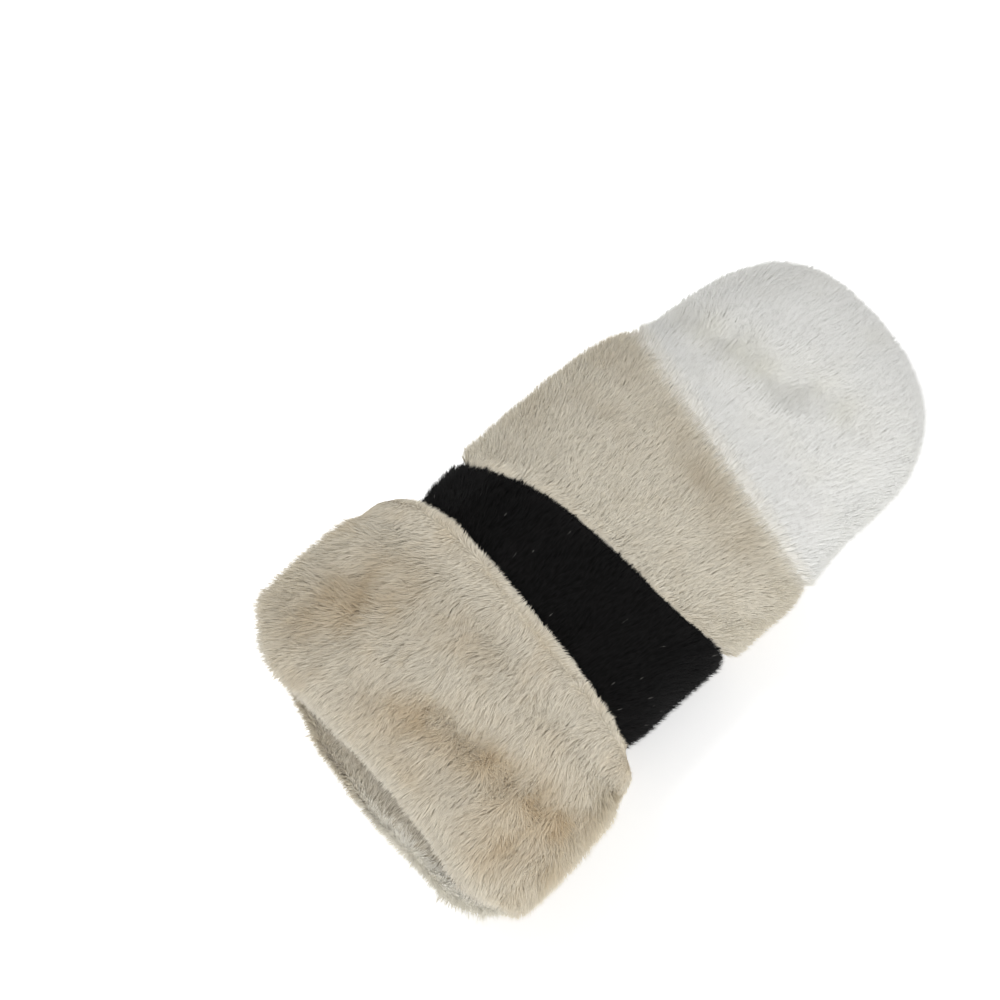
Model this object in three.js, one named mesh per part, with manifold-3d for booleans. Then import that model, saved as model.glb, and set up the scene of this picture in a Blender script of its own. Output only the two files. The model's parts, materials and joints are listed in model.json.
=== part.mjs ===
// A deep-fur mitten for the right hand, lying on its palm with the back of the hand up.
// The hand is sewn from three rings of short fur: a white tip, a beige band and a black band.
// A wide cuff of longer beige fur is turned back over the wrist, and the thumb is folded under the palm.
// Millimetres, +Z up. +Y runs from the wrist to the fingertips and -X is the thumb side.
// The origin lies on the surface that the mitten rests on, under the middle of its outline.
import * as THREE from "three";
import { mergeVertices } from "three/addons/utils/BufferGeometryUtils.js";
import Module from "manifold-3d";

const wasm = await Module();
wasm.setup();

// Driving dimensions, over the fur
const HAND_WIDTH = 131;
const CUFF_WIDTH = 163;
const MOUTH_Y = -143;
const FINGERTIP_Y = 143;
const HAND_WALL = 12; // backing and pile together
const CUFF_WALL = 20; // the turned-back cuff and the sleeve under it
const THUMB_WALL = 6; // its pile is pressed flat under the palm
const GAP = 0.4; // between two sewn pieces

// Sections of the hand: width as a share of HAND_WIDTH, the middle's x, the top's height at the
// middle and its rise towards the thumb, the height of the outline on each side, and the underside.
const HAND_SECTIONS = [
  { y: -56, width: 0.93, middle: -6, crown: 52, rise: 1, thumbSide: 30, littleSide: 28, keel: 9 },
  { y: -41, width: 0.98, middle: -7, crown: 53.5, rise: 2, thumbSide: 32, littleSide: 26, keel: 7 },
  { y: -20, width: 0.985, middle: -8.6, crown: 55, rise: 4, thumbSide: 36, littleSide: 22, keel: 1.5 },
  { y: 9, width: 0.99, middle: -9.6, crown: 55.5, rise: 5, thumbSide: 38, littleSide: 20, keel: 0 },
  { y: 45, width: 0.975, middle: -9.6, crown: 54, rise: 4.5, thumbSide: 36, littleSide: 21, keel: 0 },
  { y: 73, width: 0.895, middle: -9.2, crown: 50, rise: 3, thumbSide: 30, littleSide: 22, keel: 0 },
];

// The rounded end of the hand: a superellipse in plan, and its own in height. It leans to the thumb.
const DOME = { from: 73, plan: 2.65, height: 2.4, endHeight: 25, lean: -3 };

// The sewn edges. y is the middle of an edge's ends, skew its rise from the middle to the little
// finger's side, turn the further rise near the ends, and bow how far its middle runs ahead.
const WRIST_SEAM = { y: -56, skew: 0, turn: 0, bow: 0 };
const BLACK_SEAM = { y: -9.8, skew: 7.5, turn: 8.5, bow: 5.5 };
const WHITE_SEAM = { y: 54, skew: -7, turn: 0, bow: -1 };

// How the fur rounds over at a sewn edge: the depth under the outer form, going back from it.
const EDGE_ROUNDING = [
  { back: 0, depth: 3.6 },
  { back: 1.8, depth: 1.1 },
  { back: 5, depth: 0 },
];

// Sections of the cuff, in the same terms, with widths as shares of CUFF_WIDTH.
const CUFF_SECTIONS = [
  { y: -44, width: 0.86, middle: -6.5, crown: 61.5, rise: 1, thumbSide: 32, littleSide: 28, keel: 0 },
  { y: -53, width: 0.905, middle: -5.2, crown: 64.5, rise: 1.5, thumbSide: 32, littleSide: 28, keel: 0 },
  { y: -72, width: 0.965, middle: -2.6, crown: 66, rise: 1.5, thumbSide: 31, littleSide: 29, keel: 0 },
  { y: -97, width: 0.993, middle: -1, crown: 64.5, rise: 1, thumbSide: 30, littleSide: 29, keel: 0 },
  { y: -113, width: 1.0, middle: 0.2, crown: 62, rise: 0, thumbSide: 29, littleSide: 28, keel: 0 },
  { y: -143, width: 0.99, middle: 0.6, crown: 55, rise: 0, thumbSide: 27, littleSide: 26, keel: 0 },
];

// The turned-back edge over the black band, with its corners drawn back along the sides.
const HEM = { y: -45, skew: -2, thumbCorner: 13, littleCorner: 5, sharpness: 5 };

// The mouth: the upper lip's middle stands back from the lower lip, and so does the lower lip's
// thumb side from the upper lip. The corners are rounded.
const MOUTH = {
  upperBack: 10.8,
  upperShift: 0.15,
  corner: 15,
  sharpness: 5.6,
  lowerThumbBack: 20,
  lowerThumbSharpness: 1.8,
};

// Troughs in the upper surface, each from one end to the other.
const DENTS = [
  { from: [-66, 80], to: [-10, 92], depth: 7, reach: 7 },
  { from: [-4, 100], to: [20, 103], depth: 3.5, reach: 6 },
  { from: [-12, -94], to: [10, -92], depth: 4, reach: 7 },
  { from: [10, -92], to: [70, -79], depth: 5, reach: 8 },
  { from: [-66, -93], to: [-56, -88], depth: 5, reach: 10 },
  { from: [1, -34], to: [2, -54], depth: 3, reach: 7 },
];

// The thumb lies flat under the palm's thumb side. Its mouth opens up into the palm.
const THUMB_SECTIONS = [
  { y: -14, halfWidth: 18, middle: -47, top: 27 },
  { y: -2, halfWidth: 21, middle: -47, top: 28 },
  { y: 14, halfWidth: 22, middle: -47, top: 26 },
  { y: 30, halfWidth: 21.5, middle: -46.5, top: 20.4 },
  { y: 50, halfWidth: 20, middle: -45, top: 19.6 },
];
const THUMB_ENDS = { from: -20, to: 72, round: 16, side: 9.5 };
const THUMB_MOUTH = { from: -10, to: 16, ramp: 6, top: 36 };
const THUMB_REST_TOP = 20.4;

// How far the folded thumb lifts the palm, between two places across it and along it.
const PALM_LIFT = { height: 21.2, across: [-26, 3], rise: [-46, -20], fall: [62, 90] };

// How finely the walls are faceted
const AROUND = 48;
const THUMB_AROUND = 28;
const FLATTENING = 1.06; // the lowest part of a section rests flat

const mix = THREE.MathUtils.lerp;
const ease = THREE.MathUtils.smoothstep;
const signedPower = (value, power) => Math.sign(value) * Math.abs(value) ** power;

// Even steps from 0 to 1, both ends kept.
const steps = (count) => Array.from({ length: count + 1 }, (_, i) => i / count);

// A smooth curve through one column of a table at any place along it.
function column(table, name, y) {
  const rising = table[0].y < table[table.length - 1].y;
  const rows = rising ? table : [...table].reverse();
  const last = rows.length - 1;
  if (y <= rows[0].y) return rows[0][name];
  if (y >= rows[last].y) return rows[last][name];
  const i = rows.findIndex((row) => row.y > y) - 1;
  const [a, b] = [rows[i], rows[i + 1]];
  const before = rows[Math.max(i - 1, 0)];
  const after = rows[Math.min(i + 2, last)];
  const span = b.y - a.y;
  const t = (y - a.y) / span;
  const leaving = ((b[name] - before[name]) / (b.y - before.y)) * span;
  const arriving = ((after[name] - a[name]) / (after.y - a.y)) * span;
  const square = t * t;
  const cube = square * t;
  return (
    (2 * cube - 3 * square + 1) * a[name] +
    (cube - 2 * square + t) * leaving +
    (3 * square - 2 * cube) * b[name] +
    (cube - square) * arriving
  );
}

// A section's measures at y, from a table whose widths are shares of fullWidth.
function measures(table, fullWidth, y) {
  const names = ["middle", "crown", "rise", "thumbSide", "littleSide", "keel"];
  const section = Object.fromEntries(names.map((name) => [name, column(table, name, y)]));
  section.half = (column(table, "width", y) * fullWidth) / 2;
  return section;
}

// How far the troughs lower the upper surface at (x, y).
function dentAt(x, y) {
  let total = 0;
  for (const { from, to, depth, reach } of DENTS) {
    const along = new THREE.Vector2(to[0] - from[0], to[1] - from[1]);
    const offset = new THREE.Vector2(x - from[0], y - from[1]);
    const share = THREE.MathUtils.clamp(offset.dot(along) / along.lengthSq(), 0, 1);
    const away = offset.addScaledVector(along, -share).length() / reach;
    total += depth * Math.exp(-away * away);
  }
  return total;
}

// How far the folded thumb lifts the palm at (x, y).
function palmLift(x, y) {
  const { height, across, rise, fall } = PALM_LIFT;
  return height * (1 - ease(x, ...across)) * ease(y, ...rise) * (1 - ease(y, ...fall));
}

// The hand's section at y, set in from the fur's outer form by inset.
function handSection(y, inset) {
  if (y > DOME.from) return domeSection(y, inset);
  const section = measures(HAND_SECTIONS, HAND_WIDTH, y);
  section.half -= inset;
  section.crown -= inset;
  section.keel = Math.max(section.keel, 0) + inset;
  section.littleSide = Math.max(section.littleSide, section.keel + 4);
  section.dented = true;
  section.lifted = true;
  section.squareness = 2.5;
  return section;
}

// The section of the rounded end at y. The inset end is shorter and stays the same in form.
function domeSection(y, inset) {
  const section = handSection(DOME.from, inset);
  const share = Math.min((y - DOME.from) / (FINGERTIP_Y - inset - DOME.from), 1);
  const across = (1 - share ** DOME.plan) ** (1 / DOME.plan);
  const up = (1 - share ** DOME.height) ** (1 / DOME.height);
  section.half *= across;
  section.middle += DOME.lean * share * share;
  section.crown = mix(DOME.endHeight, section.crown, up);
  section.rise *= up;
  section.thumbSide = mix(section.thumbSide, DOME.endHeight, share);
  section.littleSide = mix(section.littleSide, DOME.endHeight, share);
  section.keel = mix(DOME.endHeight - 1, section.keel, ease(up, 0, 0.85));
  section.dented = share < 0.9;
  return section;
}

// The cuff's section at y, set in from the fur's outer form by inset.
function cuffSection(y, inset) {
  const section = measures(CUFF_SECTIONS, CUFF_WIDTH, y);
  section.half -= inset;
  section.crown -= inset;
  section.keel += inset;
  section.dented = inset < CUFF_WALL / 2;
  section.lifted = false;
  section.squareness = 2.8;
  return section;
}

// A section part of the way from one to another.
function between(one, other, share) {
  const section = { ...one };
  for (const name of ["middle", "half", "crown", "rise", "thumbSide", "littleSide", "keel", "squareness"]) {
    section[name] = mix(one[name], other[name], share);
  }
  return section;
}

// One ring of points round the part. placeY gives each point's y from its place round the ring,
// and sectionAt gives the section that the surface has there.
function ring(sectionAt, placeY, count = AROUND) {
  const points = [];
  for (let i = 0; i < count; i++) {
    const angle = (2 * Math.PI * i) / count;
    const [cosine, sine] = [Math.cos(angle), Math.sin(angle)];
    const y = placeY(signedPower(cosine, 0.8), signedPower(sine, 0.8));
    const section = sectionAt(y);
    const across = signedPower(cosine, 2 / section.squareness);
    const up = signedPower(sine, 2 / section.squareness);
    const x = section.middle + section.half * across;
    const side = mix(section.thumbSide, section.littleSide, (1 + across) / 2);
    const crown = section.crown - section.rise * across - (section.dented ? dentAt(x, y) : 0);
    const keel = Math.min(section.keel + (section.lifted ? palmLift(x, y) : 0), side - 2);
    const below = Math.max(side + (side - keel) * up * FLATTENING, keel);
    points.push(new THREE.Vector3(x, y, up > 0 ? side + (crown - side) * up : below));
  }
  return points;
}

// A closed surface through rings of equal count. Its two ends join each other, or close on poles.
// Each facet is split along its shorter diagonal, so that two pieces that face each other agree.
function surface(rings, poles = []) {
  const count = rings[0].length;
  const points = rings.flat();
  const triangles = [];
  const joins = poles.length ? rings.length - 1 : rings.length;
  for (let r = 0; r < joins; r++) {
    const here = r * count;
    const next = ((r + 1) % rings.length) * count;
    for (let i = 0; i < count; i++) {
      const j = (i + 1) % count;
      const [a, b, c, d] = [here + i, here + j, next + j, next + i];
      const level = points[a].distanceTo(points[c]) < points[b].distanceTo(points[d]);
      triangles.push(...(level ? [a, b, c, a, c, d] : [a, b, d, b, c, d]));
    }
  }
  poles.forEach((pole, end) => {
    const tip = points.push(pole) - 1;
    const base = end ? (rings.length - 1) * count : 0;
    for (let i = 0; i < count; i++) {
      const j = (i + 1) % count;
      triangles.push(...(end ? [base + i, base + j, tip] : [base + j, base + i, tip]));
    }
  });
  const geometry = new THREE.BufferGeometry().setFromPoints(points);
  geometry.setIndex(triangles);
  return geometry;
}

function solidOf(geometry) {
  const merged = mergeVertices(geometry, 1e-4);
  return new wasm.Manifold(
    new wasm.Mesh({
      numProp: 3,
      vertProperties: merged.attributes.position.array,
      triVerts: new Uint32Array(merged.index.array),
    }),
  );
}

function geometryOf(solid) {
  const mesh = solid.getMesh();
  const geometry = new THREE.BufferGeometry();
  geometry.setAttribute("position", new THREE.BufferAttribute(mesh.vertProperties, 3));
  geometry.setIndex(new THREE.BufferAttribute(mesh.triVerts, 1));
  return geometry;
}

const middleOf = (points) =>
  points.reduce((sum, p) => sum.add(p), new THREE.Vector3()).divideScalar(points.length);

// The place along Y of a sewn edge, moved by offset.
const along = (seam, offset) => (across) =>
  seam.y + seam.skew * across + seam.turn * across ** 3 + seam.bow * (1 - across ** 2) + offset;

// A place part of the way from one edge to another.
const partWay = (from, to, share) => (across, up) => mix(from(across, up), to(across, up), share);

const handRing = (place, inset) => ring((y) => handSection(y, inset), place);

// The rounded rings beside a sewn edge, going into the piece: forward is 1 towards the fingertips.
const roundedEdge = (seam, forward) =>
  EDGE_ROUNDING.map(({ back, depth }) => handRing(along(seam, forward * (GAP / 2 + back)), depth));

// A ring of fur between two sewn edges, hollow from end to end.
function band(fromSeam, toSeam, outerSteps) {
  const reach = EDGE_ROUNDING[EDGE_ROUNDING.length - 1].back + GAP / 2;
  const [low, high] = [along(fromSeam, reach), along(toSeam, -reach)];
  const middle = steps(outerSteps).slice(1, -1).map((t) => handRing(partWay(low, high, t), 0));
  const outside = [...roundedEdge(fromSeam, 1), ...middle, ...roundedEdge(toSeam, -1).reverse()];
  const [inLow, inHigh] = [along(fromSeam, GAP / 2), along(toSeam, -GAP / 2)];
  const inside = steps(4).map((t) => handRing(partWay(inLow, inHigh, t), HAND_WALL));
  return surface([...outside.reverse(), ...inside]);
}

// Rings from the white seam to near the fingertips, closer together as the end rounds over.
function endRings(inset, count) {
  const end = FINGERTIP_Y - inset;
  const shares = steps(count).slice(1, -1).map((t) => Math.sin((t * Math.PI) / 2) ** 0.9);
  const reach = inset ? 0 : EDGE_ROUNDING[EDGE_ROUNDING.length - 1].back;
  const start = along(WHITE_SEAM, GAP / 2 + reach);
  return shares.map((share) => handRing(partWay(start, () => end, share), inset));
}

// The white end of the hand: a deep cup with a rounded bottom.
function tipPanel() {
  const outside = [...roundedEdge(WHITE_SEAM, 1), ...endRings(0, 15)];
  const inside = [handRing(along(WHITE_SEAM, GAP / 2), HAND_WALL), ...endRings(HAND_WALL, 9)];
  const outerPole = new THREE.Vector3(HAND_SECTIONS[5].middle + DOME.lean, FINGERTIP_Y, DOME.endHeight);
  const innerPole = outerPole.clone().setY(FINGERTIP_Y - HAND_WALL);
  return surface([...outside.reverse(), ...inside], [outerPole, innerPole]);
}

function hemPlace(back) {
  return (across) => {
    const corner = across < 0 ? HEM.thumbCorner : HEM.littleCorner;
    return HEM.y - back + HEM.skew * across - corner * Math.abs(across) ** HEM.sharpness;
  };
}

function lipPlace(out) {
  return (across, up) => {
    const side = Math.abs(across);
    const corner = MOUTH.corner * side ** MOUTH.sharpness;
    const shifted = Math.abs(across - MOUTH.upperShift * (1 - across ** 2));
    const upper = MOUTH.upperBack * (1 - shifted ** 1.6) + corner;
    const lower = across < 0 ? MOUTH.lowerThumbBack * side ** MOUTH.lowerThumbSharpness : corner;
    return MOUTH_Y + out + mix(lower, upper, ease(up, -0.5, 0.7));
  };
}

const cuffRing = (place, inset) => ring((y) => cuffSection(y, inset), place);

// The turned-back cuff: its edge over the black band, the fur outside, the rounded lips, the
// passage for the wrist, and a recess that takes the end of the black band.
function cuff() {
  const lipRadius = CUFF_WALL / 2;
  const hem = [
    { back: 1.4, depth: 5.6 },
    { back: 0, depth: 4 },
    { back: 0.5, depth: 2.2 },
    { back: 3, depth: 0.7 },
  ].map(({ back, depth }) => cuffRing(hemPlace(back), depth));
  const [top, bottom] = [hemPlace(7), lipPlace(lipRadius)];
  const outside = steps(12).map((t) => cuffRing(partWay(top, bottom, t), 0));
  const lip = steps(8).slice(1).map((t) => {
    const turn = Math.PI * t;
    return cuffRing(lipPlace(lipRadius * (1 - Math.sin(turn))), lipRadius * (1 - Math.cos(turn)));
  });
  const passageEnd = along(WRIST_SEAM, -GAP);
  const passage = steps(5).slice(1).map((t) =>
    ring((y) => between(cuffSection(y, CUFF_WALL), handSection(y, HAND_WALL), ease(t, 0, 1)),
      partWay(bottom, passageEnd, t)));
  const recess = [0, 0.5, 0.85].map((t) => handRing(partWay(passageEnd, hemPlace(1.4), t), -GAP));
  return surface([...hem, ...outside, ...lip, ...passage, ...recess]);
}

// A rounded bag along the thumb's sections, set in from the fur by inset.
function thumbBag(inset, topAt) {
  const [from, to] = [THUMB_ENDS.from + inset, THUMB_ENDS.to - inset];
  const sectionAt = (y) => {
    const toEnd = Math.min(y - from, to - y);
    const share = THREE.MathUtils.clamp(1 - toEnd / THUMB_ENDS.round, 0, 1);
    const round = Math.sqrt(1 - share ** 2);
    const { side } = THUMB_ENDS;
    return {
      half: (column(THUMB_SECTIONS, "halfWidth", y) - inset) * round,
      middle: column(THUMB_SECTIONS, "middle", y),
      crown: mix(side, topAt(y), round),
      rise: 0,
      thumbSide: side,
      littleSide: side,
      keel: mix(side - 1, inset, ease(round, 0, 0.8)),
      squareness: 2.4,
      dented: false,
      lifted: false,
    };
  };
  const places = steps(15).slice(1, -1).map((t) => mix(from, to, (1 - Math.cos(Math.PI * t)) / 2));
  const rings = places.map((y) => ring(sectionAt, () => y, THUMB_AROUND)).reverse();
  const [end, start] = [rings[0], rings[rings.length - 1]];
  return solidOf(surface(rings, [middleOf(end).setY(to), middleOf(start).setY(from)]));
}

// The hand's whole outer form, filled, and grown a little to leave a gap.
function filledHand(grow) {
  const [from, to] = [WRIST_SEAM.y + 3, FINGERTIP_Y - 30];
  const rings = steps(24).map((t) => handRing(() => mix(to, from, t), -grow));
  const [end, start] = [rings[0], rings[rings.length - 1]];
  return solidOf(surface(rings, [middleOf(end), middleOf(start)]));
}

const thumbTop = (y) => column(THUMB_SECTIONS, "top", y);
const thumbForm = thumbBag(0, thumbTop);

// The thumb's hollow turns up through the palm, between the two ends of its mouth.
const thumbHollow = thumbBag(THUMB_WALL, (y) => {
  const { from, to, ramp, top } = THUMB_MOUTH;
  const open = ease(y, from - ramp, from) * (1 - ease(y, to, to + ramp));
  return mix(Math.min(thumbTop(y), THUMB_REST_TOP) - THUMB_WALL, top, open);
});

const thumb = thumbForm.subtract(filledHand(GAP + 0.1)).subtract(thumbHollow);
const blackBand = solidOf(band(WRIST_SEAM, BLACK_SEAM, 6)).subtract(thumbHollow);
const beigeBand = solidOf(band(BLACK_SEAM, WHITE_SEAM, 8)).subtract(thumbHollow);

const MATERIALS = {
  whiteFur: { color: 0xdcdcd8, roughness: 0.9, metalness: 0 },
  beigeFur: { color: 0xc3bba9, roughness: 0.9, metalness: 0 },
  blackFur: { color: 0x111111, roughness: 0.85, metalness: 0 },
  cuffFur: { color: 0xbcb29d, roughness: 0.9, metalness: 0 },
};

const mitten = new THREE.Group();

function addPiece(name, geometry, material) {
  const mesh = new THREE.Mesh(geometry, new THREE.MeshStandardMaterial(MATERIALS[material]));
  mesh.name = name;
  mitten.add(mesh);
}

addPiece("tip_panel", tipPanel(), "whiteFur");
addPiece("beige_band", geometryOf(beigeBand), "beigeFur");
addPiece("black_band", geometryOf(blackBand), "blackFur");
addPiece("cuff", cuff(), "cuffFur");
addPiece("thumb", geometryOf(thumb), "beigeFur");

export default mitten;
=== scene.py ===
"""A deep-fur mitten with a turned-back cuff, lying on its palm on a white floor.

Each CAD node is stood for by two kinds of piece: the undercoat, which is the node's own form let in
by the depth of the pile, and the pile, thousands of tapered locks that grow from it along the nap.
"""
import json
import logging
import math
from dataclasses import dataclass
from enum import Enum

import bmesh
import bpy
import numpy as np
from bpy.types import ID, Material, Mesh, Node, NodeSocket, NodeTree, Object
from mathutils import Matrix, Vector, noise
from mathutils.bvhtree import BVHTree
from mathutils.kdtree import KDTree

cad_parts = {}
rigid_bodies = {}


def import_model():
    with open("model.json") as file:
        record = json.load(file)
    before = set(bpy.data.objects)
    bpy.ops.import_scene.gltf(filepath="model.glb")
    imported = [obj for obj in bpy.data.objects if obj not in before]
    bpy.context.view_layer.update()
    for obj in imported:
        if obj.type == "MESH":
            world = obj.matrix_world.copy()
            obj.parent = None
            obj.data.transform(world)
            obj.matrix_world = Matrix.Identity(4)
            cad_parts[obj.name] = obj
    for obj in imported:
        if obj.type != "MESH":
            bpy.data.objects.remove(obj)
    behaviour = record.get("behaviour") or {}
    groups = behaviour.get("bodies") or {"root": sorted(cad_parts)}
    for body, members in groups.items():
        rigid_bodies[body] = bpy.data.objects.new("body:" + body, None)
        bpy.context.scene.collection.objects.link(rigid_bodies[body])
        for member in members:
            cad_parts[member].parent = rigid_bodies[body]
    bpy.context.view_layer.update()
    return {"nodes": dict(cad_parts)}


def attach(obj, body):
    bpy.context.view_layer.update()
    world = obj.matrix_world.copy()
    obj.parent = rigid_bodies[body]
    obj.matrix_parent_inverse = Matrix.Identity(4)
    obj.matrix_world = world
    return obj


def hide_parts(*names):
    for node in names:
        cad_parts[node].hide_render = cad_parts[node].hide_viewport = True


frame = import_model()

LOG = logging.getLogger("mitten")
Array = np.ndarray
MM = 0.001
DOUBLES = 0.02 * MM
BODY = "root"
Colour = tuple[float, float, float]
Point = tuple[float, float, float]
Forms = dict[str, BVHTree]


def smooth(values: Array, low: float, high: float) -> Array:
    """Returns numbers eased from 0 at low to 1 at high."""
    share = np.clip((values - low) / (high - low), 0.0, 1.0)
    return share * share * (3.0 - 2.0 * share)


def unit(vectors: Array) -> Array:
    """Returns each row at a length of 1, and rows of no length as they are."""
    lengths = np.linalg.norm(vectors, axis=1, keepdims=True)
    return vectors / np.maximum(lengths, 1e-9)


def dots(a: Array, b: Array) -> Array:
    """Returns the dot product of each row of a with the same row of b."""
    return np.einsum("ij,ij->i", a, b)


def waves(co: Array, size: float, start: Point = (0.0, 0.0, 0.0)) -> Array:
    """Returns smooth noise from -1 to 1 at each place, its waves of a size in millimetres."""
    return np.array([noise.noise(Vector(p) / (size * MM) + Vector(start)) for p in co])


def read(items: object, name: str, wide: int = 1, kind: type = np.float32) -> Array:
    """Reads one property of everything in a mesh's list.

    Args:
        items: the list, such as the vertices.
        name: the property's name.
        wide: how many numbers each of them has.
        kind: the numbers' type.

    Returns:
        A row of numbers for each, or one number for each where wide is 1.
    """
    values = np.empty(len(items) * wide, kind)
    items.foreach_get(name, values)
    return values if wide == 1 else values.reshape(-1, wide)


class Nodes:
    """Adds nodes to a node tree and links them."""

    def __init__(self, tree: NodeTree) -> None:
        """Keeps the tree."""
        self.tree = tree

    def node(self, kind: str, feeds: dict[int | str, object] | None = None, **settings: object) -> Node:
        """Adds a node.

        Args:
            kind: its type.
            feeds: its inputs by name or number, each a socket to link or a value to set.
            **settings: its options by name.

        Returns:
            The new node.
        """
        made = self.tree.nodes.new(kind)
        for name, value in settings.items():
            setattr(made, name, value)
        for name, value in (feeds or {}).items():
            self.feed(made.inputs[name], value)
        return made

    def feed(self, socket: NodeSocket, value: object) -> None:
        """Links a socket to another or sets its own value.

        Args:
            socket: the socket that is fed.
            value: a socket, or a plain value, where a colour has three numbers.
        """
        if isinstance(value, NodeSocket):
            self.tree.links.new(value, socket)
        else:
            socket.default_value = (*value, 1.0) if socket.type == "RGBA" else value

    def math(self, operation: str, a: object, b: object = 0.0) -> NodeSocket:
        """Returns the result of one sum of two numbers."""
        return self.node("ShaderNodeMath", {0: a, 1: b}, operation=operation).outputs[0]

    def vector(
        self, operation: str, a: object, b: object = (0.0, 0.0, 0.0), scale: object = 1.0
    ) -> NodeSocket:
        """Returns the result of one sum of vectors, for which the scale counts only in SCALE."""
        return self.node("ShaderNodeVectorMath", {0: a, 1: b, 3: scale}, operation=operation).outputs[0]

    def noise(self, place: NodeSocket, scale: object, detail: float, output: str = "Fac") -> NodeSocket:
        """Returns one output of a noise texture, its scale in cells per metre."""
        feeds = {"Vector": place, "Scale": scale, "Detail": detail}
        return self.node("ShaderNodeTexNoise", feeds).outputs[output]

    def ramp(self, value: NodeSocket, low: float, high: float) -> NodeSocket:
        """Returns a smooth rise from 0 at low to 1 at high."""
        feeds = {"Value": value, "From Min": low, "From Max": high}
        return self.node("ShaderNodeMapRange", feeds, interpolation_type="SMOOTHSTEP").outputs["Result"]

    def mix(self, share: object, a: object, b: object) -> NodeSocket:
        """Returns a mix of two colours, with that share of the second."""
        return self.node("ShaderNodeMix", {0: share, 6: a, 7: b}, data_type="RGBA").outputs[2]

    def place(self) -> NodeSocket:
        """Returns the coordinates of a material's own object."""
        return self.node("ShaderNodeTexCoord").outputs["Object"]

    def stored(self, name: str) -> NodeSocket:
        """Returns the number that a material's object stores under a name."""
        return self.node("ShaderNodeAttribute", attribute_name=name).outputs["Fac"]

    def relief(self, shader: Node, height: NodeSocket, strength: float, distance: float) -> None:
        """Gives a shader a bump of a height, a strength and a distance in metres."""
        bump = self.node("ShaderNodeBump", {"Height": height, "Strength": strength, "Distance": distance})
        self.feed(shader.inputs["Normal"], bump.outputs["Normal"])


def matte(name: str, roughness: float, specular: float, sheen: float = 0.0) -> tuple[Material, Nodes, Node]:
    """Makes a material.

    Args:
        name: its name.
        roughness: how rough it is.
        specular: its specular level.
        sheen: the weight of its sheen.

    Returns:
        The material, its nodes and its shader.
    """
    material = bpy.data.materials.new(name)
    material.use_nodes = True
    shader = material.node_tree.nodes["Principled BSDF"]
    shader.inputs["Roughness"].default_value = roughness
    shader.inputs["Specular IOR Level"].default_value = specular
    shader.inputs["Sheen Weight"].default_value = sheen
    return material, Nodes(material.node_tree), shader


@dataclass(frozen=True)
class FurFinish:
    """The colours and the sheen of one fur.

    Args:
        slot: the start of its materials' names.
        root: linear colour at the foot of the pile, darker than the tips as painted shade.
        tip: linear colour at the tips.
        tan_and_shade: linear colour that the colour drifts towards, and of the painted shade in the dents and
            troughs.
        tone: how much locks differ in lightness.
        mottle: how much the colour drifts from place to place.
        sheen: weight of the soft sheen.
        fleck: share of the locks that carry a pale speck of lint.
        beyond: linear colour that the tips turn to where another fur begins, and of the painted light on the
            cuff's lower lip, if it has any.
    """

    slot: str
    root: Colour
    tip: Colour
    tan_and_shade: Colour
    tone: float = 0.12
    mottle: float = 0.5
    sheen: float = 0.3
    fleck: float = 0.0
    beyond: Colour | None = None

    LINT = (0.30, 0.29, 0.27)
    PATCHES = 55.0  # cells per metre of the slow drift in colour
    GRAIN = 420.0  # the same of the drift in lightness
    HAIRS = 900.0  # the same of the undercoat's fine hair
    HAIR_DEPTH = 0.0012

    def pile(self) -> Material:
        """Returns a new material for the locks."""
        return self._material(f"{self.slot}_pile", (0.1, 0.75), 0.0)

    def undercoat(self) -> Material:
        """Returns a new material for the dense short hair under the locks, darker than their tips as painted
        shade.
        """
        return self._material(f"{self.slot}_undercoat", None, 0.6)

    def _material(self, name: str, rise: tuple[float, float] | None, relief: float) -> Material:
        """Builds one fur material.

        Args:
            name: the material's name.
            rise: the shares of a lock's length between which it goes from root to tip colour.
            relief: strength of the fine hair in the bump, 0 for none.

        Returns:
            The new material.
        """
        material, nodes, shader = matte(name, 0.92, 0.12, self.sheen)
        shader.inputs["Sheen Roughness"].default_value = 0.45
        place, along, tone = nodes.place(), nodes.stored("along"), nodes.stored("tone")
        # Darker towards the root and in the undercoat: painted shade at the foot of the pile.
        colour = nodes.mix(nodes.ramp(along, *rise) if rise else 0.45, self.root, self.tip)
        patches = nodes.ramp(nodes.noise(place, self.PATCHES, 3.0), 0.45, 0.75)
        patches = nodes.math("MULTIPLY", patches, self.mottle)
        # Painted shade: where the stored mask is high, the colour turns darker and tan, in the dents and
        # troughs.
        patches = nodes.math("MAXIMUM", patches, nodes.stored("tan_and_shade"))
        colour = nodes.mix(patches, colour, nodes.mix(0.92, colour, self.tan_and_shade))
        # Tips turn pale towards another fur, and on the cuff's lower lip as painted light.
        if self.beyond:
            strand = nodes.math("ADD", nodes.math("MULTIPLY", tone, 0.5), nodes.stored("fade"))
            colour = nodes.mix(nodes.ramp(strand, 0.5, 1.0), colour, self.beyond)
        grain = nodes.math("MULTIPLY", nodes.noise(place, self.GRAIN, 2.0), self.tone)
        lightness = nodes.math("ADD", grain, nodes.math("MULTIPLY", tone, self.tone))
        lightness = nodes.math("ADD", lightness, 1.0 - self.tone)
        colour = nodes.vector("SCALE", colour, scale=lightness)
        if self.fleck and rise:
            chosen = nodes.math("GREATER_THAN", tone, 1.0 - self.fleck)
            pale = nodes.math("MULTIPLY", chosen, nodes.ramp(along, 0.5, 0.75))
            colour = nodes.mix(pale, colour, self.LINT)
        nodes.feed(shader.inputs["Base Color"], colour)
        if relief:
            nodes.relief(shader, nodes.noise(place, self.HAIRS, 3.0), relief, self.HAIR_DEPTH)
        return material


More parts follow.
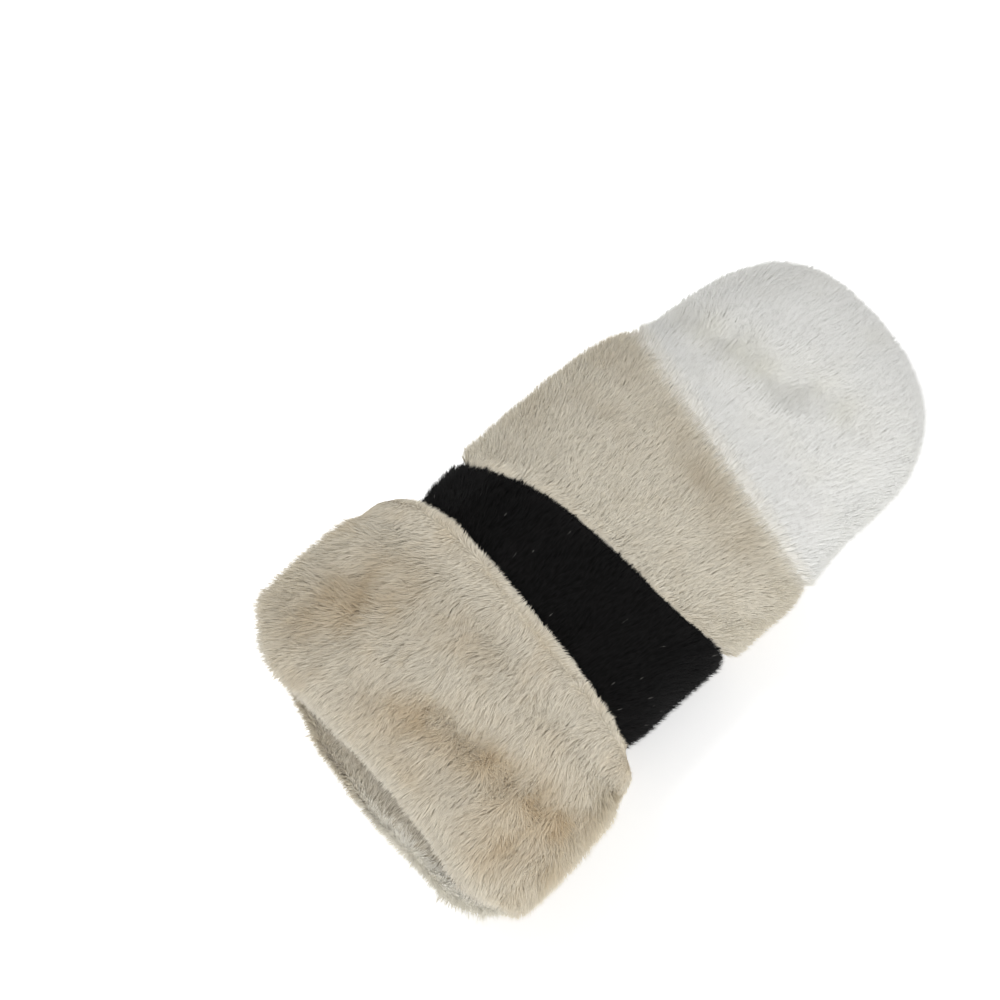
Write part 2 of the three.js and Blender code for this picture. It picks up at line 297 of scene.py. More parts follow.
@dataclass(frozen=True)
class BackingFinish:
    """The knitted backing on the inner walls.

    Args:
        name: the material's name.
        colour: its linear colour.
        rib: knitted ribs per metre.
        shade: how dark it is between the ribs, as a share of its colour.
        depth: how deep the ribs are, in metres.
    """

    name: str
    colour: Colour
    rib: float = 700.0
    shade: float = 0.7
    depth: float = 0.0006

    def build(self) -> Material:
        """Builds the material.

        Returns:
            The new material.
        """
        material, nodes, shader = matte(self.name, 0.95, 0.1, 0.2)
        feeds = {"Vector": nodes.place(), "Scale": self.rib / (2 * math.pi), "Distortion": 1.5, "Detail": 2.0}
        ribs = nodes.node("ShaderNodeTexWave", feeds).outputs["Fac"]
        dark = tuple(self.shade * part for part in self.colour)
        nodes.feed(shader.inputs["Base Color"], nodes.mix(ribs, dark, self.colour))
        nodes.relief(shader, ribs, 0.5, self.depth)
        return material


@dataclass(frozen=True)
class Pile:
    """The measures of one fur's locks, in millimetres and degrees.

    Args:
        count: about how many locks a piece has.
        length: a lock's length.
        width: its width at the foot.
        lift: how far it stands up from the backing.
        depth: how far the undercoat lies under the fur's outer form.
        spread: how far single locks stray.
        tuft: the size of the tufts that locks lean together in.
        lean: how far a tuft leans off the nap.
        clump: how much the locks of a tuft draw together at their tips.
        lumps: how uneven the undercoat is.
        lump_size: the size of those lumps.
        ripple: how uneven it is from tuft to tuft.
        gloss: how much a lock is shaded as the surface that it lies on.
        seed: the seed of all that is random.
    """

    count: int
    length: float
    width: float
    lift: float
    depth: float
    spread: float = 0.14
    tuft: float = 4.0
    lean: float = 0.3
    clump: float = 0.5
    lumps: float = 1.0
    lump_size: float = 12.0
    ripple: float = 0.25
    gloss: float = 0.85
    seed: int = 1


class LockTree(Nodes):
    """The Geometry Nodes tree that grows locks on an undercoat."""

    NAME = "locks"
    SIZES = {
        "Float": ("Density", "Length", "Width", "Lift", "Spread", "Tuft Scale", "Tuft Lean", "Clump"),
        "Int": ("Seed",),
        "Material": ("Material",),
    }
    SIDES = 3
    CLUMPS = 1.6  # places that locks draw together at, for each tuft's size
    LIFTS = (0.65, 1.35)  # from the least to the greatest share of the lift
    LENGTHS = (0.7, 1.25)  # the same of the length

    def __init__(self) -> None:
        """Builds the tree."""
        super().__init__(bpy.data.node_groups.new(self.NAME, "GeometryNodeTree"))
        face = self.tree.interface
        face.new_socket("Geometry", in_out="INPUT", socket_type="NodeSocketGeometry")
        self.ids = {}
        for kind, names in self.SIZES.items():
            for name in names:
                socket = face.new_socket(name, in_out="INPUT", socket_type=f"NodeSocket{kind}")
                self.ids[name] = socket.identifier
        face.new_socket("Geometry", in_out="OUTPUT", socket_type="NodeSocketGeometry")
        self.given = self.node("NodeGroupInput").outputs
        self._grow()

    def _attribute(self, name: str, kind: str = "FLOAT") -> NodeSocket:
        """Returns the socket of a named attribute."""
        named = self.node("GeometryNodeInputNamedAttribute", {"Name": name}, data_type=kind)
        return named.outputs["Attribute"]

    def _random(self, low: object, high: object, seed: int, kind: str = "FLOAT") -> NodeSocket:
        """Returns a random number or vector for each lock.

        Args:
            low: the least value.
            high: the greatest value.
            seed: added to the tree's seed.
            kind: FLOAT or FLOAT_VECTOR.

        Returns:
            The socket with the result.
        """
        first, result = (0, 0) if kind == "FLOAT_VECTOR" else (2, 1)
        feeds = {first: low, first + 1: high, "Seed": self.math("ADD", self.given["Seed"], seed)}
        return self.node("FunctionNodeRandomValue", feeds, data_type=kind).outputs[result]

    def _store(self, geometry: NodeSocket, name: str, value: object) -> NodeSocket:
        """Stores a number on each point under a name, and returns the geometry."""
        feeds = {"Geometry": geometry, "Name": name, "Value": value}
        stored = self.node("GeometryNodeStoreNamedAttribute", feeds, data_type="FLOAT", domain="POINT")
        return stored.outputs[0]

    def _lock(self) -> NodeSocket:
        """Builds one lock, standing on its foot, which knows how far along it each point lies.

        Returns:
            The socket with its mesh.
        """
        foot = self.math("MULTIPLY", self.given["Width"], 0.5)
        length = self.given["Length"]
        sizes = {"Vertices": self.SIDES, "Radius Top": 0.0, "Radius Bottom": foot, "Depth": length}
        cone = self.node("GeometryNodeMeshCone", sizes, fill_type="NGON")
        here = self.node("GeometryNodeInputPosition").outputs[0]
        height = self.node("ShaderNodeSeparateXYZ", {0: here}).outputs["Z"]
        return self._store(cone.outputs["Mesh"], "along", self.math("DIVIDE", height, length))

    def _turn(self) -> NodeSocket:
        """Works out how a lock is turned: raised from the nap, drawn into its tuft and a little astray.

        Returns:
            The socket with the rotation.
        """
        given = self.given
        here = self.node("GeometryNodeInputPosition").outputs[0]
        up = self.vector("NORMALIZE", self._attribute("surface", "FLOAT_VECTOR"))
        nap = self._attribute("nap", "FLOAT_VECTOR")
        stray = self.math("MULTIPLY", self._random(*self.LIFTS, 11), self._attribute("stand"))
        lift = self.math("MULTIPLY", given["Lift"], stray)
        flat = self.vector("SCALE", nap, scale=self.math("COSINE", lift))
        raised = self.vector("SCALE", up, scale=self.math("SINE", lift))
        lean = self.noise(here, given["Tuft Scale"], 1.0, "Color")
        lean = self.vector("SUBTRACT", lean, (0.5, 0.5, 0.5))
        lean = self.vector("SCALE", lean, scale=self.math("MULTIPLY", given["Tuft Lean"], 2.0))
        scale = self.math("MULTIPLY", given["Tuft Scale"], self.CLUMPS)
        cells = self.node("ShaderNodeTexVoronoi", {"Vector": here, "Scale": scale})
        draw = self.vector("SUBTRACT", cells.outputs["Position"], here)
        draw = self.vector("SCALE", draw, scale=self.math("DIVIDE", given["Clump"], given["Length"]))
        own = self._random((-1.0, -1.0, -1.0), (1.0, 1.0, 1.0), 23, "FLOAT_VECTOR")
        own = self.vector("SCALE", own, scale=given["Spread"])
        loose = self.vector("ADD", self.vector("ADD", draw, lean), own)
        loose = self.vector("SCALE", loose, scale=self._attribute("loose"))
        way = self.vector("ADD", self.vector("ADD", flat, raised), loose)
        axes = {
            "Primary Axis": self.vector("NORMALIZE", way),
            "Secondary Axis": self.vector("SCALE", up, scale=-1.0),
        }
        return self.node("FunctionNodeAxesToRotation", axes, primary_axis="Z", secondary_axis="X").outputs[0]

    def _grow(self) -> None:
        """Strews points on the undercoat and grows a lock on each."""
        density = self.math("MULTIPLY", self.given["Density"], self._attribute("cover"))
        ground = {"Mesh": self.given["Geometry"], "Density": density, "Seed": self.given["Seed"]}
        strewn = self.node("GeometryNodeDistributePointsOnFaces", ground, distribute_method="RANDOM")
        size = self.math("MULTIPLY", self._random(*self.LENGTHS, 41), self._attribute("reach"))
        grown = self.node("GeometryNodeInstanceOnPoints", {
            "Points": self._store(strewn.outputs["Points"], "tone", self._random(0.0, 1.0, 37)),
            "Instance": self._lock(),
            "Rotation": self._turn(),
            "Scale": self.node("ShaderNodeCombineXYZ", {"X": 1.0, "Y": 1.0, "Z": size}).outputs[0],
        })
        real = self.node("GeometryNodeRealizeInstances", {"Geometry": grown.outputs["Instances"]})
        look = {"Geometry": real.outputs["Geometry"], "Material": self.given["Material"]}
        self.node("NodeGroupOutput", {0: self.node("GeometryNodeSetMaterial", look).outputs["Geometry"]})

    def grow(
        self, name: str, ground: Object, pile: Pile, count: int, seed: int, material: Material
    ) -> Object:
        """Grows locks on an undercoat, as a plain mesh.

        Args:
            name: the new piece's name.
            ground: the undercoat, with its named attributes.
            pile: the locks' measures.
            count: about how many locks to grow.
            seed: the seed of this piece.
            material: the locks' material.

        Returns:
            The new piece.
        """
        values = {
            "Density": count / max(covered_area(ground.data), 1e-9),
            "Seed": seed,
            "Length": pile.length * MM,
            "Width": pile.width * MM,
            "Lift": math.radians(pile.lift),
            "Spread": pile.spread,
            "Tuft Scale": 1.0 / (pile.tuft * MM),
            "Tuft Lean": pile.lean,
            "Clump": pile.clump,
            "Material": material,
        }
        modifier = ground.modifiers.new(self.NAME, "NODES")
        modifier.node_group = self.tree
        for key, value in values.items():
            modifier[self.ids[key]] = value
        mesh = evaluated(ground)
        ground.modifiers.remove(modifier)
        mesh.name = name
        return placed(name, mesh)


def covered_area(mesh: Mesh) -> float:
    """Returns the area that the pile covers in square metres, each face counted by its cover."""
    cover = read(mesh.attributes["cover"].data, "value")
    return sum(face.area * float(cover[list(face.vertices)].mean()) for face in mesh.polygons)


def placed(name: str, data: ID) -> Object:
    """Returns a new object of a mesh, a lamp or a camera, linked to the scene."""
    made = bpy.data.objects.new(name, data)
    bpy.context.scene.collection.objects.link(made)
    return made


def evaluated(piece: Object) -> Mesh:
    """Returns a plain mesh of a piece with its modifiers applied."""
    bpy.context.view_layer.update()
    graph = bpy.context.evaluated_depsgraph_get()
    return bpy.data.meshes.new_from_object(piece.evaluated_get(graph), depsgraph=graph)


def merged(name: str) -> Mesh:
    """Copies a CAD node's mesh and merges its doubles.

    Args:
        name: the node's name.

    Returns:
        The closed copy.
    """
    made = bmesh.new()
    made.from_mesh(frame["nodes"][name].data)
    bmesh.ops.remove_doubles(made, verts=made.verts, dist=DOUBLES)
    mesh = bpy.data.meshes.new(name + "_form")
    made.to_mesh(mesh)
    made.free()
    return mesh


def tree_of(mesh: Mesh) -> BVHTree:
    """Returns a search tree of a mesh's faces."""
    return BVHTree.FromPolygons([v.co for v in mesh.vertices], [list(p.vertices) for p in mesh.polygons])


class Nap(Enum):
    """The ways that the fur is combed."""

    TO_FINGERTIPS = "to the fingertips"
    FANNED = "fanned out from the wrist"


@dataclass
class FurPiece:
    """One fur piece: the undercoat and the pile that stand for one CAD node.

    Args:
        node: the CAD node's name.
        finish: its fur finish.
        pile: its locks' measures.
        nap: the way that it is combed.
        before: the node whose fur runs on to this one, if any.
        after: the node that this fur runs on to, if any.
        parts: how many pieces the pile is made as.
        patches: darker tan patches on the upper side, painted shade in the dents and troughs, each (x, y,
            radius along x, radius along y, turn, strength).
        clear: how near a neighbour's surface counts as against it, in millimetres.
        voxel: how fine the undercoat is, in millimetres.
        fill: how far the fur fills the groove at a sewn edge, in millimetres.
        swirl: how far the nap sways from place to place.
        sink: how deep the fur lies in its patches of painted shade, in millimetres.
        jag: how ragged its last locks are where another fur begins.
        over: how long those locks are, as a share of the full length.
    """

    node: str
    finish: FurFinish
    pile: Pile
    nap: Nap
    before: str | None = None
    after: str | None = None
    parts: int = 1
    patches: tuple[tuple[float, ...], ...] = ()
    clear: float = 1.3
    voxel: float = 2.2
    fill: float = 2.4
    swirl: float = 0.5
    sink: float = 0.0
    jag: float = 0.7
    over: float = 0.5

    SEEDS = 101  # from one part of a pile to the next
    ROUNDING = 0.55  # how far the shading follows the undercoat's lumps
    # Lengths and heights in millimetres.
    RUN_IN = 9.0  # over which the pile grows to its full depth from the fur before it
    RUN_OUT = 8.0  # over which it runs out, and turns pale, at another fur
    GROOVE = 5.0  # reach of the groove at a sewn edge
    FADE = 9.0  # reach of the fur side's shift on the inner walls
    ON_FLOOR = (9.0, 16.0)  # heights up to which the underside lies on the floor, wholly and partly
    SOFT_FLOOR = 2.5  # height below which locks are bent flat
    RAGGED = (1.9, 4.6)  # waves of the ragged edge
    SWAY = 13.0  # waves of the nap
    DRIFT = 9.0  # waves of the patches of painted shade
    WRIST = (-30.0, -47.0)  # where the cuff's fur fans out from
    MOUTH = 29.0  # height of the middle of the cuff's mouth
    FOLD = 25.0  # height of the middle of its turned-back edge
    PARTING = (-3.5, 3.0)  # where locks stand up more before that edge, and how wide a row of them

    def build(self, locks: LockTree, backing: Material, forms: Forms) -> None:
        """Builds the undercoat and the pile.

        Args:
            locks: the tree that grows the pile.
            backing: the material of the inner walls.
            forms: a search tree of each CAD node.
        """
        ground = self._form()
        walls = self._fields(ground.data, forms)
        ground.data.materials.append(self.finish.undercoat())
        ground.data.materials.append(backing)
        for face in ground.data.polygons:
            face.use_smooth = True
            face.material_index = 1 if walls[list(face.vertices)].min() > 0.5 else 0
        made = [ground]
        material = self.finish.pile()
        for part in range(self.parts):
            name = f"{self.node}_pile" if self.parts == 1 else f"{self.node}_pile_{part + 1}"
            count = self.pile.count // self.parts
            grown = locks.grow(name, ground, self.pile, count, self.pile.seed + self.SEEDS * part, material)
            self._lay_down(grown.data)
            self._shade(grown.data)
            self._chart(grown.data)
            made.append(grown)
        for piece in made:
            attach(piece, BODY)
            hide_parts(self.node)
            LOG.info("%s: %d faces", piece.name, len(piece.data.polygons))

    def _form(self) -> Object:
        """Makes the node's form anew with even faces.

        Returns:
            The new object.
        """
        rough = placed(f"{self.node}_rough", merged(self.node))
        remesh = rough.modifiers.new("even", "REMESH")
        remesh.mode = "VOXEL"
        remesh.voxel_size = self.voxel * MM
        soften = rough.modifiers.new("soften", "SMOOTH")
        soften.factor = 0.5
        soften.iterations = 3
        mesh = evaluated(rough)
        bpy.data.objects.remove(rough)
        mesh.name = f"{self.node}_undercoat"
        return placed(f"{self.node}_undercoat", mesh)

    def _fields(self, mesh: Mesh, forms: Forms) -> Array:
        """Works out where fur grows and which way, lets the undercoat in, and stores the attributes.

        Args:
            mesh: the even form, which is changed.
            forms: a search tree of each CAD node.

        Returns:
            1 for each vertex of a bare inner wall and 0 for the others.
        """
        co = read(mesh.vertices, "co", 3).astype(float)
        up = unit(read(mesh.vertices, "normal", 3).astype(float))
        outer, walls = self._covered(co, up, forms)
        wholly, partly = self.ON_FLOOR
        under = smooth(-up[:, 2], 0.3, 0.85) * smooth(-co[:, 2], -partly * MM, -wholly * MM)
        top = smooth(up[:, 2], -0.1, 0.5)
        start = self._distance(co, forms, self.before, self.RUN_IN)
        finish = self._distance(co, forms, self.after, self.RUN_OUT)
        meeting = self._distance(co, forms, self.after or self.before, self.RUN_OUT)
        sewn = (self._distance(co, forms, name, self.GROOVE) for name in (self.before, self.after))
        edge = np.minimum(*sewn)
        traits = self._traits(co, up)
        tame, trim = traits["tame"], traits["trim"]
        # Painted shade, tinted tan, in the dents and troughs on the upward faces.
        tan_and_shade = self._painted_shade(co) * smooth(up[:, 2], -0.1, 0.3)
        flank = (1 - start) * (1 - top)
        depth = self.pile.depth * MM * (1 - 0.45 * under) * (0.4 + 0.6 * start + 0.6 * flank)
        depth = depth * (0.15 + 0.85 * tame) - self.fill * MM * (1 - edge) * (1 - under) * (1 - 0.7 * flank)
        depth = depth - traits["swell"] * MM + self.sink * MM * tan_and_shade
        lumps = np.array([self._lump(p) for p in co]) * MM * (1 - under) * tame * (0.3 + 0.7 * edge)
        lumps = lumps * (1 + 1.1 * tan_and_shade) * (0.35 + 0.65 * top)
        out = up.copy()
        out[:, 1] *= edge
        out = unit(out)
        shift = self._shift(mesh, co, out, outer, depth - lumps)
        moved = self._softened(mesh, co + shift, (1 - tame) * outer)
        mesh.vertices.foreach_set("co", moved.astype(np.float32).ravel())
        mesh.update()
        follow = self.ROUNDING * edge[:, None]
        raised = (1 - follow) * out + follow * read(mesh.vertices, "normal", 3)
        raised[:, 2] += traits["rise"]
        middle, row = self.PARTING
        parting = np.exp(-(((self._hem(co) - middle) / row) ** 2))
        stand = (1 - 0.75 * under) * (0.6 + 0.4 * start) * (0.35 + 0.65 * tame) * (1 + 0.25 * tan_and_shade)
        jagged = waves(co, self.RAGGED[0]) + waves(co, self.RAGGED[1])
        reach = self.over + (1 - self.over) * finish + self.jag * jagged * (1 - finish)
        fields = {
            "cover": outer * (1 - 0.5 * under),
            "stand": stand + 0.3 * parting,
            "reach": reach * (1 - 0.35 * under) * trim,
            "loose": (0.35 + 0.65 * tame) * trim * trim * (0.25 + 0.75 * top),
            # The tips fade towards the pale colour where another fur begins, and with the painted light on
            # the cuff's lower lip.
            "fade": traits["pale"] + 1 - meeting,
            "tan_and_shade": tan_and_shade,
            "along": np.zeros(len(co)),
            "tone": np.full(len(co), 0.5),
            "nap": self._combed(co, out),
            "surface": unit(raised),
        }
        for name, values in fields.items():
            kind, key = ("FLOAT_VECTOR", "vector") if values.ndim == 2 else ("FLOAT", "value")
            made = mesh.attributes.new(name, kind, "POINT")
            made.data.foreach_set(key, values.astype(np.float32).ravel())
        return walls

    def _covered(self, co: Array, up: Array, forms: Forms) -> tuple[Array, Array]:
        """Works out where fur grows, which is on the outside but not against a neighbour.

        Args:
            co: the places.
            up: the normals there.
            forms: a search tree of each CAD node.

        Returns:
            How much fur each place carries, from 0 to 1, and 1 for each place on a bare inner wall.
        """
        own = forms[self.node]
        others = [tree for name, tree in forms.items() if name != self.node]
        outer, walls = np.ones(len(co)), np.zeros(len(co))
        for i in range(len(co)):
            place, way = Vector(co[i]), Vector(up[i])
            if own.ray_cast(place + way * 1.5 * MM, way, 0.2)[0] is not None:
                outer[i] = self._inside(co[i])
                walls[i] = 1.0 - outer[i]
            for tree in others:
                near, _, _, away = tree.find_nearest(place, self.clear * MM)
                if near is not None and away > 1e-6 and abs((near - place).normalized().dot(way)) > 0.5:
                    outer[i] = 0.0
        return outer, walls

    def _inside(self, place: Array) -> float:
        """Returns how much fur an inner wall carries at a place, which is none."""
        return 0.0

    def _hem(self, co: Array) -> Array:
        """Returns how far each place lies beyond a turned-back edge, in millimetres, where there is one."""
        return np.full(len(co), -math.inf)

    def _traits(self, co: Array, up: Array) -> dict[str, Array]:
        """Works out what is special about each place, which is nothing on a plain piece.

        Args:
            co: the places.
            up: the normals there.

        Returns:
            tame: 0 where the fur is pressed smooth and 1 elsewhere.
            trim: how long the locks are, as a share of their full length.
            pale: how pale the tips are, from 0 to 1, which on the cuff's lower lip is painted light.
            swell: how far the undercoat stands out, in millimetres.
            rise: how far the nap's shading turns upwards.
        """
        none, whole = np.zeros(len(co)), np.ones(len(co))
        return {"tame": whole, "trim": whole, "pale": none, "swell": none, "rise": none}

    def _distance(self, co: Array, forms: Forms, name: str | None, reach: float) -> Array:
        """Eases from 0 at a neighbour to 1 at a distance from it.

        Args:
            co: the places.
            forms: a search tree of each CAD node.
            name: the neighbour, or None.
            reach: the distance at which the result is 1, in millimetres.

        Returns:
            A number from 0 to 1 for each place.
        """
        if name is None:
            return np.ones(len(co))
        far = reach * MM
        found = [forms[name].find_nearest(Vector(p), far) for p in co]
        return smooth(np.array([far if f[0] is None else f[3] for f in found]), 0.0, far)

    def _lump(self, place: Array) -> float:
        """Returns how far the undercoat swells at a place, in millimetres."""
        scaled = Vector(place) / (self.pile.lump_size * MM)
        swell = noise.noise(scaled) + 0.5 * noise.noise(scaled * 2.3 + Vector((3.1, 7.7, 1.3)))
        fine = noise.noise(Vector(place) / (self.pile.tuft * MM))
        return swell * self.pile.lumps + fine * self.pile.ripple

    def _shift(self, mesh: Mesh, co: Array, up: Array, outer: Array, depth: Array) -> Array:
        """Works out how the form moves so that its fur side is let in and its inner walls stay.

        Args:
            mesh: the even form.
            co: its vertices.
            up: their normals.
            outer: 1 where fur grows.
            depth: how far the fur side goes in.

        Returns:
            The way that each vertex moves.
        """
        shift = -up * (depth * outer)[:, None]
        grown = np.flatnonzero(outer > 0.5)
        search = KDTree(len(grown))
        for i in grown:
            search.insert(Vector(co[i]), int(i))
        search.balance()
        for i in np.flatnonzero(outer <= 0.5):
            _, j, away = search.find(Vector(co[i]))
            shift[i] = -up[j] * depth[j] * max(0.0, 1.0 - away / (self.FADE * MM))
        return self._softened(mesh, shift, np.ones(len(co)), 3)

    @staticmethod
    def _softened(mesh: Mesh, values: Array, weight: Array, rounds: int = 14) -> Array:
        """Evens out a vector from vertex to vertex.

        Args:
            mesh: the mesh whose vertices hold the vectors.
            values: a vector for each vertex.
            weight: how much each vertex follows its neighbours.
            rounds: how many times to even them out.

        Returns:
            The evened vectors.
        """
        edges = read(mesh.edges, "vertices", 2, np.int32)
        degree = np.bincount(edges.ravel(), minlength=len(values))[:, None]
        share = 0.5 * weight[:, None]
        for _ in range(rounds):
            total = np.zeros_like(values)
            for part in range(3):
                total[:, part] += np.bincount(edges[:, 0], values[edges[:, 1], part], len(values))
                total[:, part] += np.bincount(edges[:, 1], values[edges[:, 0], part], len(values))
            values = (1 - share) * values + share * total / np.maximum(degree, 1)
        return values

    def _combed(self, co: Array, up: Array) -> Array:
        """Works out the nap at each place.

        Args:
            co: the places.
            up: the normals there.

        Returns:
            Unit vectors along the surface.
        """
        if self.nap is Nap.TO_FINGERTIPS:
            way = np.tile((0.0, 1.0, -0.12), (len(co), 1))
        else:
            way = self._fanned(co, up)
        sway = waves(co, self.SWAY, (9.1, 2.2, 5.5))
        way = way + np.cross(up, way) * (self.swirl * sway)[:, None]
        return unit(way - up * dots(way, up)[:, None])

    def _fanned(self, co: Array, up: Array) -> Array:
        """Combs fur out from the wrist, over the lips into the mouth, and over the turned-back edge.

        Args:
            co: the places.
            up: the normals there.

        Returns:
            A vector for each place.
        """
        x, y, z = co.T / MM
        level = np.zeros(len(co))
        away = unit(np.column_stack((co[:, 0] - self.WRIST[0] * MM, co[:, 1] - self.WRIST[1] * MM, level)))
        fan = away[:, 0] * np.where(away[:, 0] > 0, 0.3, 1.0) * (1 - smooth(y, -70.0, -55.0) * 0.7)
        fold = smooth(up[:, 1], 0.1, 0.6) * smooth(y, -75.0, -60.0)
        back = np.minimum(0.6 * away[:, 1], 0.0) - 0.5
        way = np.column_stack((0.6 * fan, back, 0.9 * fold * np.sign(z - self.FOLD)))
        lip = smooth(-up[:, 1], 0.35, 0.85)[:, None]
        over = np.column_stack((0.3 * fan, level, np.where(z > self.MOUTH, -1.0, 1.0)))
        way = way * (1 - lip) + over * lip
        within = smooth(-up[:, 2] * np.sign(z - self.MOUTH), 0.2, 0.7) * (np.abs(x) < 66.0)
        within = (within * (z > 12.0) * (z < 48.0))[:, None]
        way = way * (1 - within) + np.array((0.0, 1.0, 0.0)) * within
        rolled = (smooth(self._hem(co), -6.5, -0.5) * (z > self.FOLD))[:, None]
        return way * (1 - rolled) + np.array((0.0, 1.0, -0.7)) * rolled

    def _painted_shade(self, co: Array) -> Array:
        """Works out how much painted shade, tinted tan, the fur carries at each place.

        Args:
            co: the places.

        Returns:
            A number from 0 to 1 for each place.
        """
        total = np.zeros(len(co))
        for x, y, wide, tall, turn, strength in self.patches:
            dx, dy = co[:, 0] / MM - x, co[:, 1] / MM - y
            cos, sin = math.cos(math.radians(turn)), math.sin(math.radians(turn))
            u, v = (dx * cos + dy * sin) / wide, (dy * cos - dx * sin) / tall
            total = np.maximum(total, strength * np.exp(-(u * u + v * v)))
        return np.clip(total * (1 + 0.8 * waves(co, self.DRIFT)), 0.0, 1.0)

    def _lay_down(self, mesh: Mesh) -> None:
        """Presses the locks that would reach into the floor flat on it.

        Args:
            mesh: the pile's mesh.
        """
        soft = self.SOFT_FLOOR * MM
        co = read(mesh.vertices, "co", 3)
        low = co[:, 2] < soft
        co[low, 2] = soft * np.exp((co[low, 2] - soft) / soft)
        mesh.vertices.foreach_set("co", co.ravel())
        mesh.update()

    @staticmethod
    def _chart(mesh: Mesh) -> None:
        """Lays each lock on a square of its own in a UV map, its sides on one another.

        Args:
            mesh: the pile's mesh, all of triangles, each lock four vertices in a row.
        """
        corner = read(mesh.loops, "vertex_index", 1, np.int32)
        along = read(mesh.attributes["along"].data, "value")
        tip = (along[corner] > 0.5).reshape(-1, 3)
        turn = np.cumsum(~tip, axis=1)
        foot = turn[:, 2:] == 3
        u = np.where(tip | (turn == 3), 0.5, turn - 1.0)
        v = np.where(tip, 1.0, np.where(foot & (turn == 3), 0.15, 0.0))
        lock = (corner // 4).reshape(-1, 3)
        side = math.ceil(math.sqrt(len(mesh.vertices) / 4))
        places = np.stack((lock % side + 0.1 + 0.8 * u, lock // side + 0.1 + 0.8 * v), axis=-1) / side
        mesh.uv_layers.new(name="OFBake").data.foreach_set("uv", places.astype(np.float32).ravel())

    def _shade(self, mesh: Mesh) -> None:
        """Turns the corners' normals of the locks' outer faces towards the surface's own.

        Args:
            mesh: the pile's mesh, all of triangles.
        """
        share = self.pile.gloss
        surface = unit(read(mesh.attributes["surface"].data, "vector", 3).astype(float))
        surface = surface[read(mesh.loops, "vertex_index", 1, np.int32)]
        flat = np.repeat(read(mesh.polygons, "normal", 3).astype(float), 3, axis=0)
        facing = (dots(flat, surface) > 0.02)[:, None]
        turned = np.where(facing, unit(flat * (1 - share) + surface * share), flat)
        for name in ("surface", "nap", "cover", "stand", "reach", "loose"):
            mesh.attributes.remove(mesh.attributes[name])
        mesh.normals_split_custom_set(turned.tolist())


@dataclass
class TipPiece(FurPiece):
    """The closed end of the hand, which leans over to the right.

    Args:
        lean: how far it leans over, in millimetres.
    """

    lean: float = 1.5

    def _traits(self, co: Array, up: Array) -> dict[str, Array]:
        """Makes the undercoat stand out less on the left and more on the right."""
        right = np.where(up[:, 0] < 0, 1.0, smooth(co[:, 1] / MM, 80.0, 110.0))
        return super()._traits(co, up) | {"swell": self.lean * up[:, 0] * right}


@dataclass
class CuffPiece(FurPiece):
    """The turned-back cuff, whose fur runs on over both lips into the mouth. Lengths in millimetres.

    Args:
        hem: how far behind the origin the turned-back edge lies.
        skew: how much further back it lies on the right than in the middle.
        corners: how far its left and right corners are rounded off.
        half: half the cuff's width.
        fringe: how far behind the origin the inner walls' fur ends.
        lower: how far the lower lip swells.
        upper: how far the upper lip swells.
        left: how far the left side swells.
        edge: how far the turned-back edge swells.
        short: how long the locks are at that edge, as a share of the full length.
        rise: how far the shading turns upwards there.
    """

    hem: float = 45.0
    skew: float = 2.0
    corners: tuple[float, float] = (13.0, 5.0)
    half: float = 80.0
    fringe: float = 119.0
    lower: float = 4.5
    upper: float = 2.0
    left: float = 1.3
    edge: float = 1.5
    short: float = 0.36
    rise: float = 4.0

    def _hem(self, co: Array) -> Array:
        """Returns how far each place lies beyond the turned-back edge, in millimetres."""
        across = np.clip(co[:, 0] / (self.half * MM), -1, 1)
        corner = np.where(across < 0, *self.corners) * np.abs(across) ** 5
        return co[:, 1] / MM + self.hem + self.skew * across + corner

    def _traits(self, co: Array, up: Array) -> dict[str, Array]:
        """Works out where the fur is pressed smooth or short, where the lower lip gets painted light as pale
        tips, and how the edge and the lips swell.

        Args:
            co: the places.
            up: the normals there.

        Returns:
            The same traits as a plain piece's.
        """
        x, y, z = co.T / MM
        tame = 1 - smooth(self._hem(co), -17.0, -3.0)
        lip = smooth(-up[:, 1], 0.0, 0.6) * smooth(-y, 112.0, 124.0)
        corner = smooth(np.abs(x), 44.0, 56.0)
        facing = -up[:, 2] * np.sign(z - self.MOUTH)
        gaping = 1 - corner * smooth(facing, 0.0, 0.5)
        side = 1 - smooth(up[:, 2], -0.2, 0.5)
        trim = (self.short + (1 - self.short) * tame) * (1 - 0.36 * lip * gaping) * (1 - 0.25 * side * gaping)
        # Painted light on the outward face of the lower lip: its tips turn pale, less so to the left, which
        # leaves painted shade there.
        low = smooth(-z, -30.0, -20.0) * smooth(-up[:, 1], 0.1, 0.6)
        pale = (0.1 + 0.85 * smooth(x, -25.0, 35.0)) * lip * low
        height = np.where(z < self.MOUTH, self.lower, self.upper) + corner
        lips = height * smooth(facing, 0.0, 0.7) * smooth(-y, 100.0, 114.0)
        left = self.left * smooth(-up[:, 0], 0.2, 0.8)
        swell = lips + left + self.edge * smooth(up[:, 1], 0.1, 0.6) * (1 - tame)
        rise = self.rise * (1 - tame) * smooth(up[:, 2], -0.5, 0.2)
        return {"tame": tame, "trim": trim, "pale": pale, "swell": swell, "rise": rise}

    def _inside(self, place: Array) -> float:
        """Returns how much fur the inner wall carries at a place, which is all just inside the mouth."""
        return float(-place[1] / MM > self.fringe)


@dataclass
class SubAssembly:
    """What every sub-assembly is built with.

    Args:
        locks: the tree that grows the pile.
        backing: the material of the inner walls.
        forms: a search tree of each CAD node.
    """

    locks: LockTree
    backing: Material
    forms: Forms

    def build(self) -> None:
        """Builds and dresses its pieces in turn."""
        for piece in self._pieces():
            piece.build(self.locks, self.backing, self.forms)

    def _pieces(self) -> tuple[FurPiece, ...]:
        """Returns its pieces, which each sub-assembly lists for itself."""
        raise NotImplementedError


